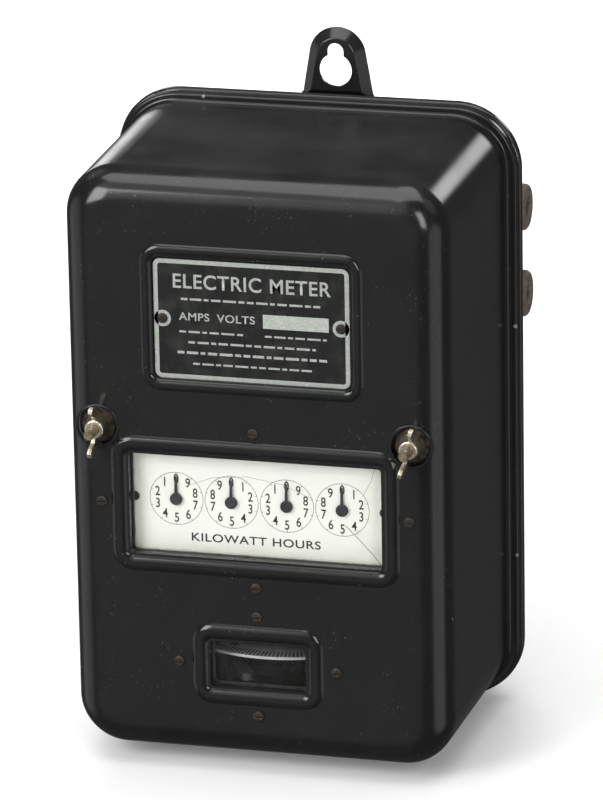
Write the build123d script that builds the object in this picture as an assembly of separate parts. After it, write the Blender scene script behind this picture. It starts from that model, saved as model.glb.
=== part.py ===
from build123d import *
import math
import os

# Wall-mounted commutator watt-hour meter, lengths in mm.
# X is to the right seen from the front, Z is up and the wall is at Y = 0.
# The front faces -Y, so "depth" below always means the distance from the wall.

# ---------------------------------------------------------------- driving dimensions
SHEET = 1.0                      # cover sheet
COVER_W, COVER_H = 177.9, 274.6  # cover outline where it meets its flange
COVER_CORNER = 24.5
COVER_DRAFT = 1.1                # degrees
COVER_FRONT = 157.2              # wall to flat front face
COVER_EDGE = 15.5                # rounding between front face and sides
FLANGE_W, FLANGE_H, FLANGE_R = 186.4, 282.1, 28.7
FLANGE_FRONT = 43.5
LIP_END = 39.3

BASE_SHEET = 1.5
BASE_W, BASE_H, BASE_R = 188.5, 284.2, 29.75
PAN_W, PAN_H, PAN_R = 167.0, 260.4, 19.0
PAN_DEPTH = 38.5
BASE_LIP_BACK = 35.0

PLATE_Z, PLATE_W, PLATE_H = 70.1, 88.8, 54.8
PLATE_SCREW_X = 40.5
DIAL_Z = -15.9                   # height of the four dial centres
DIAL_PITCH = 25.4
REGISTER_Z = -16.7               # centre of the register opening
WINDOW_Z = -90.1                 # centre of the disc window
GLASS = 1.6

STUD_X, STUD_Z = 71.6, 18.3
STUD_R = 2.4
STUD_END = 172.0
POCKET_DEPTH = 2.8
POCKET_R = 8.9

BUSHING_Z = (88.8, 47.8)
BUSHING_DEPTH = 17.5

SHAFT_DEPTH = 88.0               # rotor axis in front of the wall
DISC_Z, DISC_R = -89.2, 60.0
ARMATURE_Z, ARMATURE_R = -26.0, 26.0
COIL_R, COIL_BORE = 34.0, 22.0

TRAIN_MODULE = 2 * DIAL_PITCH / 88   # 80-tooth wheel and 8-leaf pinion on the dial pitch
WORM_MODULE = 0.4
WORM_R = 3.0
WORM_TEETH = 100
WHEEL_T = 1.0
REAR_PLATE = 130.5               # depth of the back of the register
FRONT_PLATE = 145.0
PLANE_A, PLANE_B, PLANE_C, PLANE_D = 142.4, 139.4, 136.4, 133.8
DIAL_FACE = 149.6

RUN = 0.05                       # radial running clearance


# ---------------------------------------------------------------- helpers
def slab(sketch, start, thick, taper=0.0):
    """Prism of an X-Z sketch, growing from depth start towards the front."""
    return extrude(Plane.XZ.offset(start) * sketch, amount=thick, taper=taper)


def rod(x, z, radius, start, length):
    """Round bar along the depth direction."""
    return slab(Pos(x, z) * Circle(radius), start, length)


def pillar(x, depth, z, radius, height):
    """Round bar standing upright from height z."""
    base = (Align.CENTER, Align.CENTER, Align.MIN)
    return Pos(x, -depth, z) * Cylinder(radius, height, align=base)


def side_rod(x, depth, z, radius, length):
    """Round bar running towards +X from x."""
    base = (Align.CENTER, Align.CENTER, Align.MIN)
    return Pos(x, -depth, z) * Rot(0, 90, 0) * Cylinder(radius, length, align=base)


def block(x0, x1, d0, d1, z0, z1):
    """Box between two corners, depth measured from the wall."""
    size = Box(abs(x1 - x0), abs(d1 - d0), abs(z1 - z0))
    return Pos((x0 + x1) / 2, -(d0 + d1) / 2, (z0 + z1) / 2) * size


def group(parts):
    """Separate solids kept together in one piece of the hand-in."""
    return Compound(children=list(parts))


def loop_at(part, depth, half_w=100.0, half_h=150.0, z=0.0):
    """Edges lying in the plane at this depth, within half sizes of the point (0, z)."""
    found = []
    for edge in part.edges():
        box = edge.bounding_box()
        flat = abs(box.min.Y + depth) < 0.01 and abs(box.max.Y + depth) < 0.01
        inside = max(abs(box.min.X), abs(box.max.X)) < half_w + 0.05
        inside = inside and max(abs(box.min.Z - z), abs(box.max.Z - z)) < half_h + 0.05
        if flat and inside:
            found.append(edge)
    return found


def screw(x, z, seat, head_r, head_h, shank_r, shank):
    """Round-head slotted screw: head in front of depth seat, shank behind it."""
    head = rod(x, z, head_r, seat, head_h)
    head = fillet(head.edges().group_by(Axis.Y)[0], min(head_h * 0.75, head_r * 0.6))
    body = head + rod(x, z, shank_r, seat - shank, shank)
    slot = block(x - head_r, x + head_r, seat + head_h * 0.5, seat + head_h + 1, z - 0.3, z + 0.3)
    return body - slot


def involute(angle):
    return math.tan(angle) - angle


def gear(teeth, module, above, below, phase):
    """Involute gear face; above and below are addendum and dedendum in modules."""
    pitch_r = teeth * module / 2
    base_r = pitch_r * math.cos(math.radians(20))
    tip_r = pitch_r + above * module
    root_r = pitch_r - below * module
    half = 0.44 * math.pi / teeth + involute(math.radians(20))
    start_r = max(base_r, root_r)
    flank = []
    for step in range(4):
        radius = start_r + (tip_r - start_r) * step / 3
        bend = involute(math.acos(min(1.0, base_r / radius)))
        flank.append((radius, half - bend))
    if root_r < base_r:
        flank.insert(0, (root_r, half))
    points = []
    for tooth in range(teeth):
        middle = phase + 2 * math.pi * tooth / teeth
        for radius, turn in flank:
            points.append((radius * math.cos(middle - turn), radius * math.sin(middle - turn)))
        for radius, turn in reversed(flank):
            points.append((radius * math.cos(middle + turn), radius * math.sin(middle + turn)))
    return make_face(Polyline(*points, close=True))


def wheel(centre, teeth, driver, start):
    """Brass train wheel with spokes, its tooth gap facing the pinion that drives it."""
    towards = math.atan2(driver[1] - centre[1], driver[0] - centre[0])
    face = gear(teeth, TRAIN_MODULE, 0.5, 1.2, towards + math.pi / teeth)
    rim = teeth * TRAIN_MODULE / 2 - 1.2 * TRAIN_MODULE - 1.5
    if rim > 12:
        quarter = Pos(rim / 2 + 1.2, rim / 2 + 1.2) * Rectangle(rim, rim)
        window = (Circle(rim) - Circle(4.2)) & quarter
        for spoke in range(4):
            face = face - Rot(0, 0, 90 * spoke) * window
    return slab(Pos(*centre) * face, start, WHEEL_T)


def pinion(centre, driven, start, length):
    """Eight-leaf pinion, one leaf pointing at the wheel it drives."""
    towards = math.atan2(driven[1] - centre[1], driven[0] - centre[0])
    face = gear(8, TRAIN_MODULE, 1.0, 0.8, towards)
    return slab(Pos(*centre) * face, start, length)


# ---------------------------------------------------------------- cover
class Bead:
    """Half-round bead pressed out round an opening, its inner side curling in behind the face."""

    def __init__(self, z, width, height, corner, across, drop, crest):
        self.z, self.width, self.height, self.corner = z, width, height, corner
        self.drop = drop
        # the section is a circle through the outer foot and the lower inner foot
        slope = across / drop
        level = (across ** 2 - drop ** 2) / (2 * drop)
        half = across + crest * slope
        self.middle = half - math.sqrt(half ** 2 - across ** 2 + crest ** 2 - 2 * crest * level)
        self.sink = self.middle * slope - level
        self.radius = crest + self.sink

    def outline(self, grow=0.0):
        shape = RectangleRounded(self.width + 2 * grow, self.height + 2 * grow, self.corner + grow)
        return Pos(0, self.z) * shape

    def tube(self, radius):
        """Round ring of the given section radius along the middle of the bead."""
        ring = Plane.XZ.offset(COVER_FRONT - self.sink) * self.outline(self.middle)
        path = ring.wire()
        section = Plane(origin=path @ 0, z_dir=path % 0) * Circle(radius)
        return sweep(section, path=path)


BEADS = (
    # height, inner width, inner height, inner corner, bead width, drop of the inner foot, crest
    Bead(PLATE_Z + 0.5, 89.8, 56.0, 3.2, 5.7, 1.8, 1.3),
    Bead(REGISTER_Z, 115.6, 47.0, 1.6, 8.2, 2.4, 1.6),
    Bead(WINDOW_Z, 44.0, 21.6, 1.0, 8.2, 2.4, 1.6),
)
PANE_FRONT = COVER_FRONT - 2.4 - SHEET
REGISTER_SCREWS = ((0, 36.1), (0, -36.1), (-70.4, 0), (70.4, 0))
WINDOW_SCREWS = ((0, 23.6), (0, -23.6), (-36.3, 0), (36.3, 0))
COVER_SCREWS = [(x, REGISTER_Z + z) for x, z in REGISTER_SCREWS]
COVER_SCREWS += [(x, WINDOW_Z + z) for x, z in WINDOW_SCREWS]


def make_cover():
    start = FLANGE_FRONT - SHEET
    outline = RectangleRounded(COVER_W, COVER_H, COVER_CORNER)
    body = slab(outline, start, COVER_FRONT - start, COVER_DRAFT)
    body = fillet(loop_at(body, COVER_FRONT), COVER_EDGE)
    flange = slab(RectangleRounded(FLANGE_W, FLANGE_H, FLANGE_R), LIP_END, FLANGE_FRONT - LIP_END)
    flange = fillet(loop_at(flange, FLANGE_FRONT), 1.2)
    outer = body + flange
    outer = fillet(loop_at(outer, FLANGE_FRONT, COVER_W / 2 + 0.5, COVER_H / 2 + 0.5), 1.6)

    inner = RectangleRounded(COVER_W - 2 * SHEET, COVER_H - 2 * SHEET, COVER_CORNER - SHEET)
    hollow = slab(inner, start, COVER_FRONT - SHEET - start, COVER_DRAFT)
    hollow = fillet(loop_at(hollow, COVER_FRONT - SHEET), COVER_EDGE - SHEET)
    rim = RectangleRounded(FLANGE_W - 2 * SHEET, FLANGE_H - 2 * SHEET, FLANGE_R - SHEET)
    behind = slab(rim, LIP_END, start - LIP_END)

    for bead in BEADS:
        outer = outer - slab(bead.outline(), COVER_FRONT - bead.drop, 5) + bead.tube(bead.radius)
        lip = slab(bead.outline(bead.middle), COVER_FRONT - bead.drop - SHEET, 5)
        hollow = hollow - lip + bead.tube(bead.radius - SHEET)
    for x in (-STUD_X, STUD_X):
        floor = COVER_FRONT - POCKET_DEPTH
        swell = rod(x, STUD_Z, POCKET_R + 1.3, COVER_FRONT - 0.5, 1.2)
        outer = outer + fillet(swell.edges().group_by(Axis.Y)[0], 0.6)
        outer = outer - rod(x, STUD_Z, POCKET_R, floor, POCKET_DEPTH + 3)
        hollow = hollow - rod(x, STUD_Z, POCKET_R + SHEET, floor - SHEET, POCKET_DEPTH + 1)

    cover = outer - hollow - behind
    for bead in BEADS[1:]:
        cover = cover - slab(bead.outline(), PANE_FRONT - 1, 10)
    for x, z in COVER_SCREWS:
        cover = cover - rod(x, z, 1.5, 150, 10)
    for x in (-PLATE_SCREW_X, PLATE_SCREW_X):
        cover = cover - rod(x, PLATE_Z, 1.3, 150, 10)
    for x in (-STUD_X, STUD_X):
        cover = cover - rod(x, STUD_Z, 2.9, 150, 10)
    return cover


def glass_frame(z, glass_w, glass_h, open_w, open_h, screws):
    """Pressed frame that holds a pane against the inside of the cover."""
    back = PANE_FRONT - GLASS
    rim = Pos(0, z) * RectangleRounded(glass_w + 2.4, glass_h + 2.4, 2)
    seat = Pos(0, z) * RectangleRounded(glass_w + 0.4, glass_h + 0.4, 1)
    view = Pos(0, z) * RectangleRounded(open_w, open_h, 2)
    ring = slab(rim, back - 1.0, GLASS + 0.9) - slab(seat, back, 5) - slab(view, back - 2, 5)
    for x, dz in screws:
        near_x = math.copysign(glass_w / 2 + 0.6, x) if x else 0
        near_z = math.copysign(glass_h / 2 + 0.6, dz) if dz else 0
        strap = Rectangle(abs(x - near_x) or 8, abs(dz - near_z) or 8)
        strap = Pos((x + near_x) / 2, z + (dz + near_z) / 2) * strap + Pos(x, z + dz) * Circle(4)
        ring = ring + slab(strap, back - 1.0, 1.0)
        ring = ring + rod(x, z + dz, 3.1, back - 1.0, COVER_FRONT - SHEET + 0.7 - back)
    for x, dz in screws:
        ring = ring - rod(x, z + dz, 1.45, back - 2, 12)
    return ring


def pane(z, width, height):
    return slab(Pos(0, z) * RectangleRounded(width, height, 1.5), PANE_FRONT - GLASS, GLASS)


def make_nameplate():
    plate = slab(Pos(0, PLATE_Z) * RectangleRounded(PLATE_W, PLATE_H, 3.0), COVER_FRONT - 1.8, 0.8)
    for x in (-PLATE_SCREW_X, PLATE_SCREW_X):
        plate = plate - rod(x, PLATE_Z, 1.3, 150, 10)
    return plate


def make_wing_nut(x, lean):
    """Wing nut resting on its washer; lean turns the wings away from upright."""
    seat = COVER_FRONT - POCKET_DEPTH + 1.0
    cone = Cone(5.6, 4.2, 8.0, align=(Align.CENTER, Align.CENTER, Align.MIN))
    body = Plane.XZ.offset(seat) * Pos(x, STUD_Z) * cone
    body = fillet(body.edges().group_by(Axis.Y)[0], 0.8)
    ear = Polyline((2.0, 1.0), (6.2, 2.0), (10.6, 7.5), (12.0, 12.0), (11.2, 14.0), (9.2, 14.4),
                   (7.6, 12.5), (5.8, 8.6), (4.0, 7.4), (2.0, 7.4), close=True)
    blade = extrude(Plane.YZ * make_face(ear), amount=0.9, both=True)
    blade = fillet(blade.edges().filter_by(Axis.X).sort_by(Axis.Y)[-6:], 0.6)
    wings = []
    for turn in (0, 180):
        upright = Rot(0, lean + turn, 0) * Rot(90, 0, 0) * blade
        wings.append(Pos(x, -seat, STUD_Z) * upright)
    nut = body + wings[0] + wings[1]
    return nut - rod(x, STUD_Z, STUD_R + 0.08, seat - 1, 20)


def make_washer(x):
    seat = COVER_FRONT - POCKET_DEPTH
    cup = rod(x, STUD_Z, 7.9, seat, 1.0) - rod(x, STUD_Z, 2.75, seat - 1, 4)
    return fillet(cup.edges().group_by(Axis.Y)[0].sort_by(SortBy.LENGTH)[-1:], 0.4)


def make_stud(x):
    stud = rod(x, STUD_Z, STUD_R, BASE_SHEET, STUD_END - BASE_SHEET)
    stud = chamfer(stud.edges().group_by(Axis.Y)[0], 0.5)
    collar = slab(Pos(x, STUD_Z) * RegularPolygon(6.0, 6), BASE_SHEET, 5.0)
    tail = rod(x, STUD_Z, 2.0, 0, BASE_SHEET)
    return stud + collar + tail - side_rod(x - 5, STUD_END - 2.4, STUD_Z, 0.8, 10)


# ---------------------------------------------------------------- base
HANGER_W = 33.8
HANGER_FOOT, HANGER_TOP = 131.0, 164.3
HANGER_RIVETS = (94.0, 118.0)
FRAME_FEET = ((-32, -116), (32, -116), (-32, 104), (32, 104))
WALL_HOLES = ((-60, -116), (60, -116))


def make_base():
    pan = slab(RectangleRounded(PAN_W, PAN_H, PAN_R), 0, PAN_DEPTH)
    pan = fillet(loop_at(pan, 0), 6.0)
    inside = RectangleRounded(PAN_W - 2 * BASE_SHEET, PAN_H - 2 * BASE_SHEET, PAN_R - BASE_SHEET)
    cavity = slab(inside, BASE_SHEET, PAN_DEPTH)
    cavity = fillet(loop_at(cavity, BASE_SHEET), 4.5)
    flange = slab(RectangleRounded(BASE_W, BASE_H, BASE_R), BASE_LIP_BACK, PAN_DEPTH - BASE_LIP_BACK)
    flange = fillet(loop_at(flange, PAN_DEPTH), 1.4)
    rim = RectangleRounded(BASE_W - 2 * BASE_SHEET, BASE_H - 2 * BASE_SHEET, BASE_R - BASE_SHEET)
    hollow = slab(rim, BASE_LIP_BACK, PAN_DEPTH - BASE_SHEET - BASE_LIP_BACK)
    seat = block(-HANGER_W / 2 - 0.4, HANGER_W / 2 + 0.4, 0, 1.7, 84, 140)
    bump = pan & block(-HANGER_W / 2 - 1.9, HANGER_W / 2 + 1.9, 0, 3.2, 82.5, PAN_H / 2)
    base = (flange - hollow) + pan - cavity + bump - seat
    for side in (-1, 1):
        for z in BUSHING_Z:
            base = base - side_rod(side * PAN_W / 2 - 5, BUSHING_DEPTH, z, 8.5, 10)
    for x, z in WALL_HOLES:
        base = base - rod(x, z, 2.75, -1, 5)
    for x, z in FRAME_FEET:
        base = base - rod(x, z, 2.05, -1, 5)
    for x in (-STUD_X, STUD_X):
        base = base - rod(x, STUD_Z, 2.05, -1, 5)
    for z in HANGER_RIVETS:
        base = base - rod(0, z, 2.55, -1, 6)
    return base


def hanger_outline():
    top_r = 13.3
    crown = Pos(0, HANGER_TOP - top_r) * Circle(top_r)
    foot = Line((-HANGER_W / 2, HANGER_FOOT), (HANGER_W / 2, HANGER_FOOT))
    return make_hull(crown.edges() + foot.edges())


def make_hanger():
    outline = hanger_outline()
    ear = slab(outline, 0, 5.0)
    ear = chamfer(ear.edges().group_by(Axis.Y)[0], 4.4)
    ear = fillet(ear.edges().group_by(Axis.Y)[0], 1.2)
    dish = slab(offset(outline, -2.0), 0, 3.4)
    dish = chamfer(dish.edges().group_by(Axis.Y)[0], 3.0)
    tongue = block(-HANGER_W / 2, HANGER_W / 2, 0, 1.6, 85, HANGER_FOOT + 2.2)
    hanger = ear - dish + tongue
    keyhole = Pos(0, 145.0) * Circle(7.7) + Pos(0, 153.7) * Circle(3.9)
    keyhole = keyhole + Pos(0, 149.5) * Rectangle(7.8, 8.4)
    hanger = hanger - slab(keyhole, -1, 10)
    for z in HANGER_RIVETS:
        hanger = hanger - rod(0, z, 2.55, -1, 5)
    return hanger


def make_rivets():
    rivets = []
    for z in HANGER_RIVETS:
        head = rod(0, z, 4.6, 3.2, 1.8)
        head = fillet(head.edges().group_by(Axis.Y)[0], 1.4)
        rivets.append(head + rod(0, z, 2.5, 0.1, 3.1))
    return group(rivets)


def make_gasket():
    ring = RectangleRounded(183.8, 279.5, 27.4) - RectangleRounded(177.4, 273.1, 24.2)
    return slab(ring, PAN_DEPTH, FLANGE_FRONT - SHEET - PAN_DEPTH)


def bushing_at(side, z):
    """Moulded bushing whose neck goes through the side wall of the base."""
    wall = PAN_W / 2
    collar = side_rod(wall, BUSHING_DEPTH, z, 10.7, 9.6)
    collar = fillet(collar.edges().group_by(Axis.X)[-1], 2.2)
    neck = side_rod(wall - 6, BUSHING_DEPTH, z, 8.4, 6)
    part = collar + neck - side_rod(wall - 10, BUSHING_DEPTH, z, 4.6, 30)
    mouth = part.edges().group_by(Axis.X)[-1].sort_by(SortBy.LENGTH)[:1]
    part = fillet(mouth, 1.2)
    return part if side > 0 else mirror(part, Plane.YZ)


def bushing_nut_at(side, z):
    start = PAN_W / 2 - BASE_SHEET - 3.5
    hexagon = Plane.YZ.offset(start) * Pos(-BUSHING_DEPTH, z) * RegularPolygon(11.5, 6)
    nut = extrude(hexagon, amount=3.5) - side_rod(start - 1, BUSHING_DEPTH, z, 8.45, 8)
    return nut if side > 0 else mirror(nut, Plane.YZ)


def every_bushing(maker):
    return group([maker(side, z) for side in (-1, 1) for z in BUSHING_Z])


# ---------------------------------------------------------------- terminals and frame
BLOCK_X, BLOCK_W, BLOCK_D = 64.0, 20.0, 22.0
CLAMP_X = (-3.1, 3.1)            # two clamp screws in line over each wire hole


def make_terminal_block(side):
    x = side * BLOCK_X
    body = block(x - BLOCK_W / 2, x + BLOCK_W / 2, BASE_SHEET, BASE_SHEET + BLOCK_D, 36, 100)
    body = fillet(body.edges().filter_by(Axis.Y), 2.0)
    body = body - block(x - BLOCK_W / 2 - 1, x + BLOCK_W / 2 + 1, BLOCK_D - 2.5, BLOCK_D + 5, 66.5, 70.0)
    for z in BUSHING_Z:
        body = body - block(x - 6.5, x + 6.5, 12, BLOCK_D + 5, z - 8.5, z + 8.5)
        body = body - side_rod(x - 12, BUSHING_DEPTH, z, 3.2, 24)
    return body


def terminal_at(side, z):
    """Brass terminal with its wire hole facing the bushing."""
    x = side * BLOCK_X
    brass = block(x - 6.3, x + 6.3, 12, 25, z - 8.3, z + 8.3)
    brass = brass - side_rod(x - 12, BUSHING_DEPTH, z, 3.2, 24)
    for shift in CLAMP_X:
        brass = brass - rod(x + shift, z, 1.65, BUSHING_DEPTH, 10)
    return brass


def make_terminals():
    return group([terminal_at(side, z) for side in (-1, 1) for z in BUSHING_Z])


def make_terminal_screws():
    screws = []
    for side in (-1, 1):
        for z in BUSHING_Z:
            for shift in CLAMP_X:
                screws.append(screw(side * BLOCK_X + shift, z, 25, 2.9, 1.9, 1.6, 4.0))
    return group(screws)


CHEEK_IN, CHEEK_OUT = 52.0, 57.0
FRAME_BACK, FRAME_FACE = 14.0, 19.0
TOP_ARM_Z, LOW_ARM_Z = 98.0, -118.0
MAGNET_TURN = 50.0
LEVER_PIVOT = (-33.0, 108.0)


def magnet_pad(side):
    """Seat between the frame and the back of a magnet."""
    pad = Pos(80, 0, DISC_Z) * Box(12, 16, 16)
    pad = pad - Pos(80, 0, DISC_Z) * Rot(0, 90, 0) * Cylinder(2.05, 20)
    pad = Rot(0, 0, MAGNET_TURN) * pad
    pad = Pos(0, -SHAFT_DEPTH, 0) * pad
    return pad if side > 0 else mirror(pad, Plane.YZ)


def make_frame():
    plate = slab(Pos(0, -6) * RectangleRounded(106, 236, 8), FRAME_BACK, FRAME_FACE - FRAME_BACK)
    plate = plate - slab(Pos(0, 66) * RectangleRounded(70, 44, 8), 10, 12)
    plate = plate - slab(Pos(0, -26) * RectangleRounded(76, 84, 10), 10, 12)
    frame = plate
    for side in (-1, 1):
        cheek = block(side * CHEEK_IN, side * CHEEK_OUT, FRAME_BACK, REAR_PLATE, -42, 34)
        window = Plane.YZ.offset(side * 54.5) * Pos(-92, -8) * RectangleRounded(56, 46, 8)
        cheek = cheek - extrude(window, amount=6, both=True)
        frame = frame + cheek + magnet_pad(side)
    for x, z in FRAME_FEET:
        frame = frame + rod(x, z, 7, BASE_SHEET, FRAME_BACK - BASE_SHEET)
    top = block(-9, 9, FRAME_FACE, 97, TOP_ARM_Z, TOP_ARM_Z + 8)
    low = block(-10, 10, FRAME_FACE, 99, LOW_ARM_Z - 8, LOW_ARM_Z)
    top = fillet(top.edges().filter_by(Axis.Z), 3.0)
    low = fillet(low.edges().filter_by(Axis.Z), 3.0)
    web = Plane.YZ * make_face(Polyline((-18, -126), (-70, -126), (-18, -100), close=True))
    frame = frame + top + low + extrude(web, amount=3, both=True)
    side_arm = block(-38, -8, 84, 96, LOW_ARM_Z - 8, LOW_ARM_Z)
    side_arm = side_arm + block(-39, -27, 84, 114, LOW_ARM_Z - 8, LOW_ARM_Z)
    frame = frame + side_arm + pillar(LEVER_PIVOT[0], LEVER_PIVOT[1], LOW_ARM_Z, 4.5, 15.9)
    frame = frame + pillar(LEVER_PIVOT[0], LEVER_PIVOT[1], LOW_ARM_Z, 2.0, 20.6)
    frame = frame - pillar(0, SHAFT_DEPTH, TOP_ARM_Z - 1, 3.05, 10)
    frame = frame - pillar(0, SHAFT_DEPTH, LOW_ARM_Z - 9, 4.05, 10)
    for x, z in FRAME_FEET:
        frame = frame - rod(x, z, 2.05, 0, 25)
    for x, z in REGISTER_MOUNTS:
        frame = frame - rod(x, z, 1.55, REAR_PLATE - 8, 10)
    for side in (-1, 1):
        for z in (COIL_SCREW_LOW, COIL_SCREW_HIGH):
            frame = frame - side_rod(side * 54.5 - 5, SHAFT_DEPTH - 33, z, 2.05, 10)
        frame = frame - rod(side * 54.5, ARMATURE_Z, 1.55, REAR_PLATE - 8, 10)
    return frame


REGISTER_MOUNTS = ((-54.5, 20), (54.5, 20), (-54.5, -37), (54.5, -37))
COIL_SCREW_LOW, COIL_SCREW_HIGH = -37.5, -14.5


def make_frame_screws():
    return group([screw(x, z, FRAME_FACE, 3.8, 2.6, 2.0, FRAME_FACE - 0.2) for x, z in FRAME_FEET])


# ---------------------------------------------------------------- magnets and coils
def turned(part, side):
    """Swing a part built on the +X axis round the rotor axis to its magnet place."""
    placed = Pos(0, -SHAFT_DEPTH, DISC_Z) * Rot(0, 0, MAGNET_TURN) * part
    return placed if side > 0 else mirror(placed, Plane.YZ)


def make_magnet(side):
    outer = Box(38, 20, 46, align=(Align.MIN, Align.CENTER, Align.CENTER))
    body = Pos(36, 0, 0) * outer
    body = fillet(body.edges().filter_by(Axis.Y).sort_by(Axis.X)[-2:], 9.0)
    gap = Pos(30, 0, 0) * Box(34, 24, 24, align=(Align.MIN, Align.CENTER, Align.CENTER))
    body = body - gap
    for end in (-1, 1):
        body = body + Pos(44, 0, end * 7.6) * Box(13, 16, 9.6)
    body = body - Pos(68, 0, 0) * Rot(0, 90, 0) * Cylinder(2.15, 20)
    return turned(body, side)


def make_magnet_screws():
    screws = []
    for side in (-1, 1):
        head = Pos(62.9, 0, 0) * Rot(0, 90, 0) * Cylinder(3.8, 2.2)
        shank = Pos(72.5, 0, 0) * Rot(0, 90, 0) * Cylinder(2.0, 21)
        screws.append(turned(head + shank, side))
    return group(screws)


def make_coil(side):
    ring = Pos(side * 39, -SHAFT_DEPTH, ARMATURE_Z) * Rot(0, 90, 0) * Cylinder(COIL_R, 14)
    ring = fillet(ring.edges(), 3.5)
    bore = Pos(side * 39, -SHAFT_DEPTH, ARMATURE_Z) * Rot(0, 90, 0) * Cylinder(COIL_BORE, 20)
    return ring - bore


def make_coil_clamps():
    """Straps that tie the two current coils to the cheeks."""
    clamps = []
    for side in (-1, 1):
        near = SHAFT_DEPTH - COIL_R - 4
        strap = block(side * 46.2, side * CHEEK_IN, near, SHAFT_DEPTH - 14, -44, -8)
        hook = block(side * 33, side * CHEEK_IN, near, near + 4.0 - 0.6, -44, -8)
        clamp = strap + hook
        for z in (COIL_SCREW_LOW, COIL_SCREW_HIGH):
            clamp = clamp - side_rod(side * 49 - 5, SHAFT_DEPTH - 33, z, 2.05, 10)
        clamps.append(clamp)
    return group(clamps)


def make_coil_screws():
    screws = []
    for side in (-1, 1):
        for z in (COIL_SCREW_LOW, COIL_SCREW_HIGH):
            head = side_rod(CHEEK_OUT, SHAFT_DEPTH - 33, z, 3.6, 2.4)
            head = fillet(head.edges().group_by(Axis.X)[-1], 1.4)
            part = head + side_rod(CHEEK_OUT - 8, SHAFT_DEPTH - 33, z, 2.0, 8)
            screws.append(part if side > 0 else mirror(part, Plane.YZ))
    return group(screws)


def make_light_coil():
    ring = rod(0, ARMATURE_Z, 21, 117.5, 5.5)
    ring = fillet(ring.edges(), 1.5)
    return ring - rod(0, ARMATURE_Z, 15, 110, 20)


def make_light_bar():
    bar = block(-CHEEK_OUT, CHEEK_OUT, 123, 125, ARMATURE_Z - 5, ARMATURE_Z + 5)
    for side in (-1, 1):
        bar = bar - block(side * (CHEEK_IN - 0.1), side * 60, 120, 128, ARMATURE_Z - 6, ARMATURE_Z + 6)
        bar = bar + block(side * (CHEEK_IN - 1.5), side * CHEEK_IN, 108, 125, ARMATURE_Z - 5, ARMATURE_Z + 5)
    for x in (-18, 18):
        bar = bar - rod(x, ARMATURE_Z, 1.55, 120, 8)
    return bar


def make_resistor():
    x0, depth, z = -40, 32, 119
    tube = side_rod(x0, depth, z, 6.0, 80) - side_rod(x0 - 1, depth, z, 3.2, 82)
    caps = side_rod(x0, depth, z, 7.2, 6) + side_rod(x0 + 74, depth, z, 7.2, 6)
    return tube + caps - side_rod(x0 - 1, depth, z, 3.2, 82)


def make_resistor_bracket():
    part = side_rod(-44, 32, 119, 3.1, 88)
    for x in (-44, 41):
        foot = block(x, x + 3, FRAME_FACE, 36, 104, 124) + block(x - 3, x + 6, FRAME_FACE, 21, 100, 110)
        part = part + foot
    return part


# ---------------------------------------------------------------- rotor
WORM_Z = 30.3
WORM_LEAD = math.pi * WORM_MODULE


def make_shaft():
    shaft = pillar(0, SHAFT_DEPTH, -108, 1.5, 200)
    shaft = shaft + pillar(0, SHAFT_DEPTH, -110.5, 0.7, 2.5) + pillar(0, SHAFT_DEPTH, 92, 0.8, 5)
    shaft = shaft + pillar(0, SHAFT_DEPTH, DISC_Z - 5, 5.0, 4.4)
    core_r = WORM_R - 1.1 * WORM_MODULE
    turns = 7
    start = WORM_Z - turns / 2 * WORM_LEAD + WORM_LEAD / 2
    shaft = shaft + pillar(0, SHAFT_DEPTH, start - 1.2, core_r, turns * WORM_LEAD + 2.4)
    path = Pos(0, -SHAFT_DEPTH, start) * Helix(WORM_LEAD, turns * WORM_LEAD, core_r - 0.1)
    root, crest = 0.29 * WORM_LEAD, 0.12 * WORM_LEAD
    tall = 1.9 * WORM_MODULE
    tooth = Polyline((0, -root), (0, root), (tall, crest), (tall, -crest), close=True)
    section = Plane(origin=path @ 0, x_dir=(1, 0, 0), z_dir=path % 0) * make_face(tooth)
    return shaft + sweep(section, path=path, is_frenet=True)


def make_disc():
    disc = pillar(0, SHAFT_DEPTH, DISC_Z - 0.6, DISC_R, 1.2)
    return disc - pillar(0, SHAFT_DEPTH, DISC_Z - 2, 1.55, 4)


def make_armature():
    ball = Pos(0, -SHAFT_DEPTH, ARMATURE_Z) * Sphere(ARMATURE_R)
    ball = ball & block(-30, 30, SHAFT_DEPTH - 30, SHAFT_DEPTH + 30, ARMATURE_Z - 22, ARMATURE_Z + 22)
    ball = ball + pillar(0, SHAFT_DEPTH, ARMATURE_Z - 25, 5, 50)
    return ball - pillar(0, SHAFT_DEPTH, ARMATURE_Z - 30, 1.55, 60)


def make_commutator():
    drum = pillar(0, SHAFT_DEPTH, 66, 4.0, 14) + pillar(0, SHAFT_DEPTH, 63, 5.5, 3)
    for index in range(8):
        slot = Pos(4.0, 0, 73.5) * Box(0.9, 0.35, 14)
        drum = drum - Pos(0, -SHAFT_DEPTH, 0) * Rot(0, 0, 22.5 + 45 * index) * slot
    return drum - pillar(0, SHAFT_DEPTH, 60, 1.55, 30)


def make_top_bearing():
    body = pillar(0, SHAFT_DEPTH, TOP_ARM_Z - 3.5, 3.0, 13) + pillar(0, SHAFT_DEPTH, TOP_ARM_Z + 8, 5.5, 3.5)
    return body - pillar(0, SHAFT_DEPTH, TOP_ARM_Z - 4, 0.8 + RUN, 4)


def make_jewel_screw():
    body = pillar(0, SHAFT_DEPTH, -132, 4.0, 23.4)
    body = body + pillar(0, SHAFT_DEPTH, -132, 6.0, 4)
    return body - pillar(0, SHAFT_DEPTH, -110.6, 0.7 + RUN, 3)


def make_brush_block():
    yoke = block(-20, 20, 64, 76, TOP_ARM_Z - 6, TOP_ARM_Z)
    for side in (-1, 1):
        yoke = yoke + pillar(side * 15, 70, 83.2, 3.2, TOP_ARM_Z - 6 - 83.2)
        yoke = yoke + pillar(side * 15, 70, 64, 1.5, 20)
    return yoke


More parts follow.
